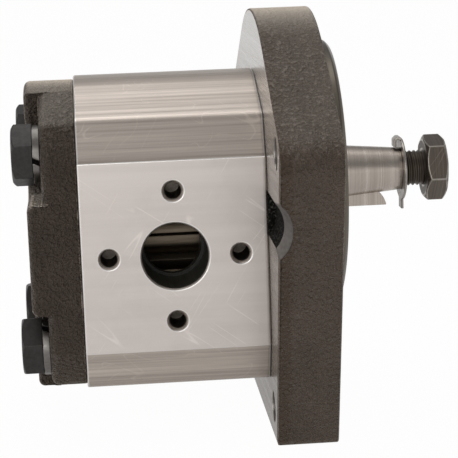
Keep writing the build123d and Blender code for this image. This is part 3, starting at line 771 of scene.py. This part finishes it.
take_hold(flange)
for side in (-1, 1):
    for polygon in flange.data.polygons:
        polygon.select = polygon.normal.x < -square_on and abs(polygon.center.x - joint_x) < slack
    bpy.ops.object.mode_set(mode="EDIT")
    bpy.ops.mesh.bisect(
        plane_co=(joint_x, side * (foot_y - margin / cos(side_angle)), flange_low.z),
        plane_no=(0.0, side * cos(side_angle), -sin(side_angle)),
    )
    bpy.ops.object.mode_set(mode="OBJECT")
finish_normals(flange)
print("flange:", len(flange.data.polygons), "faces")

# %% [markdown]
# What is machined is told by its place: the front face, all that stands proud of it, the seal
# bore and the four mounting holes. The pilot ring's wall is made dark, and the edge round the front
# face is worn pale, because the flange lies and slides on it.

# %% Machined faces of the flange
proud = 0.2 * MM
seal_bore_reach = 19.0 * MM
hole_reach = 5.4 * MM
pilot_reach = 45.0 * MM
mount_rows = {row["name"]: row for row in frame["record"]["mounts"] if row["name"].endswith("flange_holes")}
mount_places = [
    (side * row["dims"]["spacing_x_mm"] / 2 * MM, row["pos_m"][2])
    for row in mount_rows.values() for side in (-1, 1)
]


def is_machined(centre, normal):
    """True on the front face, the pilot ring, the seal bore and the mounting holes."""
    return (
        normal.x > square_on and centre.x > -slack
        or centre.x > proud
        or off_axis(centre) < seal_bore_reach
        or any(off_axis(centre, y, z) < hole_reach for y, z in mount_places)
    )


def on_front_edge(centre, normal):
    """True on the broken edge round the front face."""
    return (
        -0.35 * MM < centre.x < -0.01 * MM and 0.2 < normal.x < 0.97
        and off_axis(centre) > pilot_reach
    )


refinish(flange, "milled_iron", is_machined)
refinish(flange, "dark_ring_iron", lambda centre, normal: centre.x > proud and abs(normal.x) < 0.9)
refinish(flange, "worn_edge", on_front_edge)
refinish(flange, "faced_back", lambda centre, normal: (
    normal.x < -square_on and centre.x < joint_x + slack and past_margin(centre) < 0
))

# %% [markdown]
# A round channel beside each port lets the screws of the pipe in. Near the body it is cast and
# raw. Where it leaves the side a cutter has flared it, so its mouth is bare and smooth. Both are
# told by their distance from the channel's axis and from the middle of the pump.

# %% Channels of the flange
channel_radius = 10.0 * MM
channel_bite = 2.6 * MM
channel_x = joint_x + channel_bite - channel_radius
channel_z = port_z + 11.9 * MM
flare_from_y = 58.0 * MM
flare_radii = (9.8 * MM, 12.9 * MM)


def channel_reach(centre):
    """Distance from the channel's axis, which runs along Y."""
    return hypot(centre.x - channel_x, centre.z - channel_z)


def in_flare(centre, normal):
    """True on the cutter's flare at the mouth of either channel."""
    flared = flare_radii[0] < channel_reach(centre) < flare_radii[1]
    return abs(centre.y) > flare_from_y and flared and abs(normal.y) < 0.5


def in_raw_part(centre, normal):
    """True on the cast wall of either channel, between the body and the flare."""
    near_joint = joint_x + 0.03 * MM < centre.x < joint_x + 3.0 * MM
    return abs(centre.y) < flare_from_y + slack and near_joint and channel_reach(centre) < flare_radii[1]


refinish(flange, "cut_iron", in_flare)
# The raw channel's near-black colour is painted shade.
refinish(flange, "raw_channel_painted_shade", in_raw_part)

# %% [markdown]
# ## The rear cover
#
# The rear cover is a casting too, with a pocket for each screw head. Its corners are rounder than
# the flange's, so its band is wider and has one more segment, and handling has rubbed it. It is
# machined only where it meets the body.

# %% Rear cover
cover = softened_copy("rear_cover", 0.5 * MM, segments=3, band="cast_edge")
refinish(cover, "cast_cover", lambda centre, normal: abs(normal.x) < 0.2)
refinish(cover, "milled_iron", lambda centre, normal: (
    normal.x > square_on and centre.x > cover_joint_x - slack
))

# %% [markdown]
# ## The body
#
# The body is drawn through a die and sawn to length, and then its port pads are milled, its ports
# bored and its holes tapped. Each step leaves another surface. The faces of a port are told by
# their distance from its axis, a little over its radius, and those of a tapped hole by their
# distance from a point on the inlet's circle of holes. The outlet's circle is a little smaller,
# and the reach is wide enough for most of its holes' walls too.

# %% Body
body = softened_copy("pump_body", 0.22 * MM, band="body_edge")
port_reach = 10.3 * MM
inner_reach = 36.0 * MM
inlet_tap_circle = 20.0 * MM
tap_reach = 4.5 * MM
tap_mouth = 1.1 * MM


def in_port(centre, normal):
    """True inside one of the two ports."""
    return hypot(centre.x - port_x, centre.z - port_z) < port_reach and abs(centre.y) < inner_reach


def in_tapped_hole(centre, normal):
    """True below the mouth of a tapped hole, within reach of the inlet's circle of holes."""
    across_x, across_z = abs(centre.x - port_x), abs(centre.z - port_z)
    reach = hypot(max(across_x, across_z) - inlet_tap_circle, min(across_x, across_z))
    return reach < tap_reach and abs(centre.y) < pad_y - tap_mouth


refinish(body, "milled_pad", lambda centre, normal: (
    abs(normal.y) > square_on and abs(centre.y) > pad_y - slack
))
# Port walls: oil with painted shade.
refinish(body, "port_wall_oil_and_painted_shade", in_port)
# Port ledge: painted shade.
refinish(body, "port_ledge_painted_shade", lambda centre, normal: in_port(centre, normal) and abs(normal.y) > 0.5)
refinish(body, "tapped_wall", in_tapped_hole)

# %% [markdown]
# ## Screws and shaft parts
#
# The screws, the nut, the key and the tab washer get small broken edges, and the nut's is worn
# bright by spanners. The shafts get the smallest. Each row below names a part, the width of its
# edge in millimetres and the finish of the edge. The drive shaft keeps its ground finish up to the
# thread, while the teeth of both shafts shine with oil and are darkened as painted shade.

# %% Screws and shaft parts
small_edges = (
    ("cover_screws", 0.25, None), ("shaft_nut", 0.35, "worn_edge"),
    ("half_round_key", 0.3, None), ("tab_washer", 0.2, None),
    ("drive_gear_shaft", 0.15, None), ("driven_gear_shaft", 0.15, None),
)
gear_reach = 10.2 * MM
thread_from = tab_low.x + 2.0 * MM
for name, width, band in small_edges:
    piece = softened_copy(name, width * MM, band=band)
    if name.endswith("gear_shaft"):
        # The gear teeth take the gear steel, whose dark colour is partly painted shade.
        refinish(piece, "gear_steel", lambda centre, normal: abs(centre.x - port_x) < gear_reach)
    if name == "drive_gear_shaft":
        refinish(piece, "thread_steel", lambda centre, normal: centre.x > thread_from)

# %% [markdown]
# ## Split lock washers
#
# A spring washer is one turn of square wire. Under a tight screw it lies flat, and what shows is
# the slanting gap between its ends. The model's rings have a straight gap, so the ends of the
# copies are sheared: a point moves sideways by how far through the washer it is, and less the
# further it is from the gap.

# %% Lock washers
washers = softened_copy("lock_washers", 0.28 * MM)
washer_mid_x = (washers_low.x + washers_high.x) / 2
half_spacing_y = 24.0 * MM
washer_radius = 9.0 * MM
washer_y = (screws_high.y + screws_low.y) / 2 + half_spacing_y
washer_z = {1: washers_high.z - washer_radius, -1: washers_low.z + washer_radius}
slit_angles = {(-1, 1): 186.0, (-1, -1): 130.0, (1, 1): 60.0, (1, -1): 300.0}
slit_slope = tan(radians(28.0))
slit_spread = radians(35.0)
for vertex in washers.data.vertices:
    side = 1 if vertex.co.y > 0 else -1
    level = 1 if vertex.co.z > port_z else -1
    angle = atan2(vertex.co.z - washer_z[level], vertex.co.y - side * washer_y)
    away = abs((angle - radians(slit_angles[side, level]) + pi) % (2 * pi) - pi)
    slide = (vertex.co.x - washer_mid_x) * slit_slope * max(0.0, 1.0 - away / slit_spread)
    vertex.co.y -= slide * sin(angle)
    vertex.co.z += slide * cos(angle)
print("sheared the slits of", len(slit_angles), "washers")

# %% [markdown]
# ## Threads
#
# A thread is a ridge that winds round a core. A bump map would draw it too, but the thread of the
# shaft's end stands against the background, where only real shape shows. Its section is a small
# diamond with blunted corners, drawn beside the axis, and the Screw modifier winds it up the
# shaft. The inner half of the diamond is sunk in the core.

# %% Helper for threads
ridge_share = 0.48
blunt_share = 0.22


def thread_ridge(name, radius, depth, pitch, turns, steps, finish):
    """Ridge wound round the X axis from x = 0, reaching depth to both sides of the radius."""
    bpy.ops.object.select_all(action="DESELECT")
    bpy.ops.mesh.primitive_circle_add(
        vertices=4, radius=1.0, fill_type="NOTHING", location=(0, 0, radius), rotation=(pi / 2, 0, 0),
    )
    ridge = bpy.context.object
    ridge.name = name
    ridge.scale = (pitch * ridge_share, depth, 1.0)
    bpy.ops.object.transform_apply(location=True, rotation=True, scale=True)
    bpy.ops.object.mode_set(mode="EDIT")
    bpy.ops.mesh.select_all(action="SELECT")
    bpy.ops.mesh.bevel(offset=depth * blunt_share, affect="VERTICES")
    bpy.ops.object.mode_set(mode="OBJECT")
    winding = ridge.modifiers.new("winding", "SCREW")
    winding.axis = "X"
    winding.screw_offset = pitch
    winding.iterations = turns
    winding.steps = steps
    winding.render_steps = steps
    bpy.ops.object.modifier_apply(modifier="winding")
    bpy.ops.object.mode_set(mode="EDIT")
    bpy.ops.mesh.select_all(action="SELECT")
    bpy.ops.mesh.fill_holes(sides=0)
    bpy.ops.mesh.select_all(action="SELECT")
    bpy.ops.mesh.normals_make_consistent(inside=False)
    bpy.ops.object.mode_set(mode="OBJECT")
    ridge.data.materials.append(finishes[finish])
    finish_normals(ridge, 40.0)
    return ridge


print("thread helper ready")

# %% [markdown]
# The thread of the shaft's end starts just past the tab washer and stops short of the chamfer, in
# as many whole turns as fit. It rides on the drive shaft, so it turns with it.

# %% Thread of the shaft's end
end_pitch = 1.45 * MM
end_chamfer = 0.8 * MM
end_start = tab_low.x + 2.6 * MM
end_turns = int((shaft_high.x - end_chamfer - end_start) / end_pitch)
end_thread = thread_ridge("shaft_thread", 5.1 * MM, 0.66 * MM, end_pitch, end_turns, 40, "thread_steel")
end_thread.data.transform(Matrix.Translation((end_start, 0, 0)))
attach(end_thread, "drive_shaft")
print("shaft thread:", end_turns, "turns")

# %% [markdown]
# The eight holes round the ports are tapped, so there the ridge stands inwards from the wall. All
# have the same thread. One ridge is modelled, and the record's rows on the port screws say where
# its copies go. Each copy has a mesh of its own, which is moved and turned to its hole.

# %% Tapped holes round the ports
tap_pitch = 1.0 * MM
tap_turns = 11
tap_inset = 0.9 * MM
tap = thread_ridge("port_tap_0", 2.62 * MM, 0.27 * MM, tap_pitch, tap_turns, 24, "tapped_wall")
tap_copies = [tap]
tap_copies += [bpy.data.objects.new("port_tap_" + str(i), tap.data.copy()) for i in range(1, 8)]
port_rows = [row for row in frame["record"]["mounts"] if row["name"] in ("inlet_screws", "outlet_screws")]
tap_places = [
    (row["axis"][1], row["dims"]["pcd_mm"] / 2 * MM, radians(90 * quarter))
    for row in port_rows for quarter in range(4)
]
for copy, (side, reach, angle) in zip(tap_copies, tap_places):
    if copy is not tap:
        bpy.context.scene.collection.objects.link(copy)
    centre = Vector((port_x + reach * cos(angle), side * (pad_y - tap_inset), port_z + reach * sin(angle)))
    copy.data.transform(Matrix.Translation(centre) @ Matrix.Rotation(-side * pi / 2, 4, "Z"))
    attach(copy, "housing")
print("tapped holes:", len(tap_copies))

# %% [markdown]
# ## The studio
#
# The pump stands on a pale floor under a pale sky. A floor that is lit until it looks white would
# also throw that light on the pump and bleach it. This one looks white to the camera through a mix
# on Light Path, and half as white to mirror-like surfaces. A small share of the lit floor stays in
# the mix and keeps the shadow.

# %% Floor
def white_to_camera(name, colour, share):
    """Matt surface that camera rays, and half as much mirror rays, see as white for the share given."""
    tree, shader = new_finish(name)
    feed(tree, colour, shader.inputs["Base Color"])
    shader.inputs["Roughness"].default_value = 0.9
    shader.inputs["Specular IOR Level"].default_value = 0.0
    glow = tree.nodes.new("ShaderNodeEmission")
    feed(tree, (1, 1, 1), glow.inputs["Color"])
    path = tree.nodes.new("ShaderNodeLightPath")
    mirrored = calculate(tree, "ADD", path.outputs["Is Glossy Ray"], path.outputs["Is Transmission Ray"])
    mirrored = calculate(tree, "MULTIPLY", mirrored, 0.5)
    seen = calculate(tree, "ADD", path.outputs["Is Camera Ray"], mirrored, clamp=True)
    blend = tree.nodes.new("ShaderNodeMixShader")
    white_share = calculate(tree, "MULTIPLY", seen, share)
    for socket, output in zip(blend.inputs, (white_share, shader.outputs[0], glow.outputs[0])):
        feed(tree, output, socket)
    feed(tree, blend.outputs[0], tree.nodes["Material Output"].inputs["Surface"])


white_to_camera("floor_white", (0.9, 0.9, 0.9), 0.975)
floor_gap = 0.2 * MM
floor_z = cad_low.z - floor_gap
floor_size = 8.0
bpy.ops.object.select_all(action="DESELECT")
bpy.ops.mesh.primitive_plane_add(size=floor_size, location=(0, 0, floor_z))
floor = bpy.context.object
floor.name = "studio_floor"
floor.data.materials.append(finishes["floor_white"])
print("floor at", round(floor_z / MM, 1), "mm")

# %% [markdown]
# Bright metal mirrors what is round it, and under an even white sky its edges and bores would
# vanish. So the sky is grey, with a white belt above the horizon and a pale cap overhead, and the
# metal shows light beside dark. The camera itself sees it white, through Light Path again.

# %% Sky
sky_grey = (0.30, 0.30, 0.30)
belt_ends = (0.12, 0.42)
cap_ends = (0.7, 0.95)
cap_share = 0.5
world = bpy.data.worlds.new("studio")
bpy.context.scene.world = world
world.use_nodes = True
sky_tree = world.node_tree
sky = sky_tree.nodes["Background"]
height = part_of(sky_tree, coordinates(sky_tree, "Generated"), "Z")
belt = remap(sky_tree, height, *belt_ends, 1.0, 0.0)
cap = remap(sky_tree, height, *cap_ends, 0.0, cap_share)
seen_from = sky_tree.nodes.new("ShaderNodeLightPath").outputs["Is Camera Ray"]
bright = calculate(sky_tree, "MAXIMUM", calculate(sky_tree, "MAXIMUM", belt, cap), seen_from)
feed(sky_tree, mix_colour(sky_tree, bright, sky_grey, (1.0, 1.0, 1.0)), sky.inputs["Color"])
sky.inputs["Strength"].default_value = 1.0
print("sky: grey", sky_grey[0], "with a white belt up to", belt_ends[1])

# %% [markdown]
# Two soft lamps shape the pump. A wide one hangs above it and a little behind, and makes the bright
# streaks on the tops. A second one stands on the camera's side and fills the near side. A sun or a
# spot lamp would draw hard shadows, so both are area lamps, aimed at the middle of the pump.

# %% Lamps
def soft_lamp(name, place, aim, size, power):
    """Square area lamp at a place, turned to its aim; all in metres and watts."""
    lamp_data = bpy.data.lights.new(name, "AREA")
    lamp_data.size = size
    lamp_data.energy = power
    lamp = bpy.data.objects.new(name, lamp_data)
    bpy.context.scene.collection.objects.link(lamp)
    turn = (Vector(aim) - Vector(place)).to_track_quat("-Z", "Y")
    lamp.matrix_world = Matrix.Translation(place) @ turn.to_matrix().to_4x4()


pump_middle = (cad_low + cad_high) / 2
soft_lamp("top_lamp", (-0.15, 0.25, 0.95), pump_middle, 0.7, 2.4)
soft_lamp("front_lamp", (-0.45, -1.15, 0.35), pump_middle, 0.9, 4.0)
bpy.context.scene.view_settings.view_transform = "Standard"
print("lamps aimed at", [round(v, 3) for v in pump_middle])
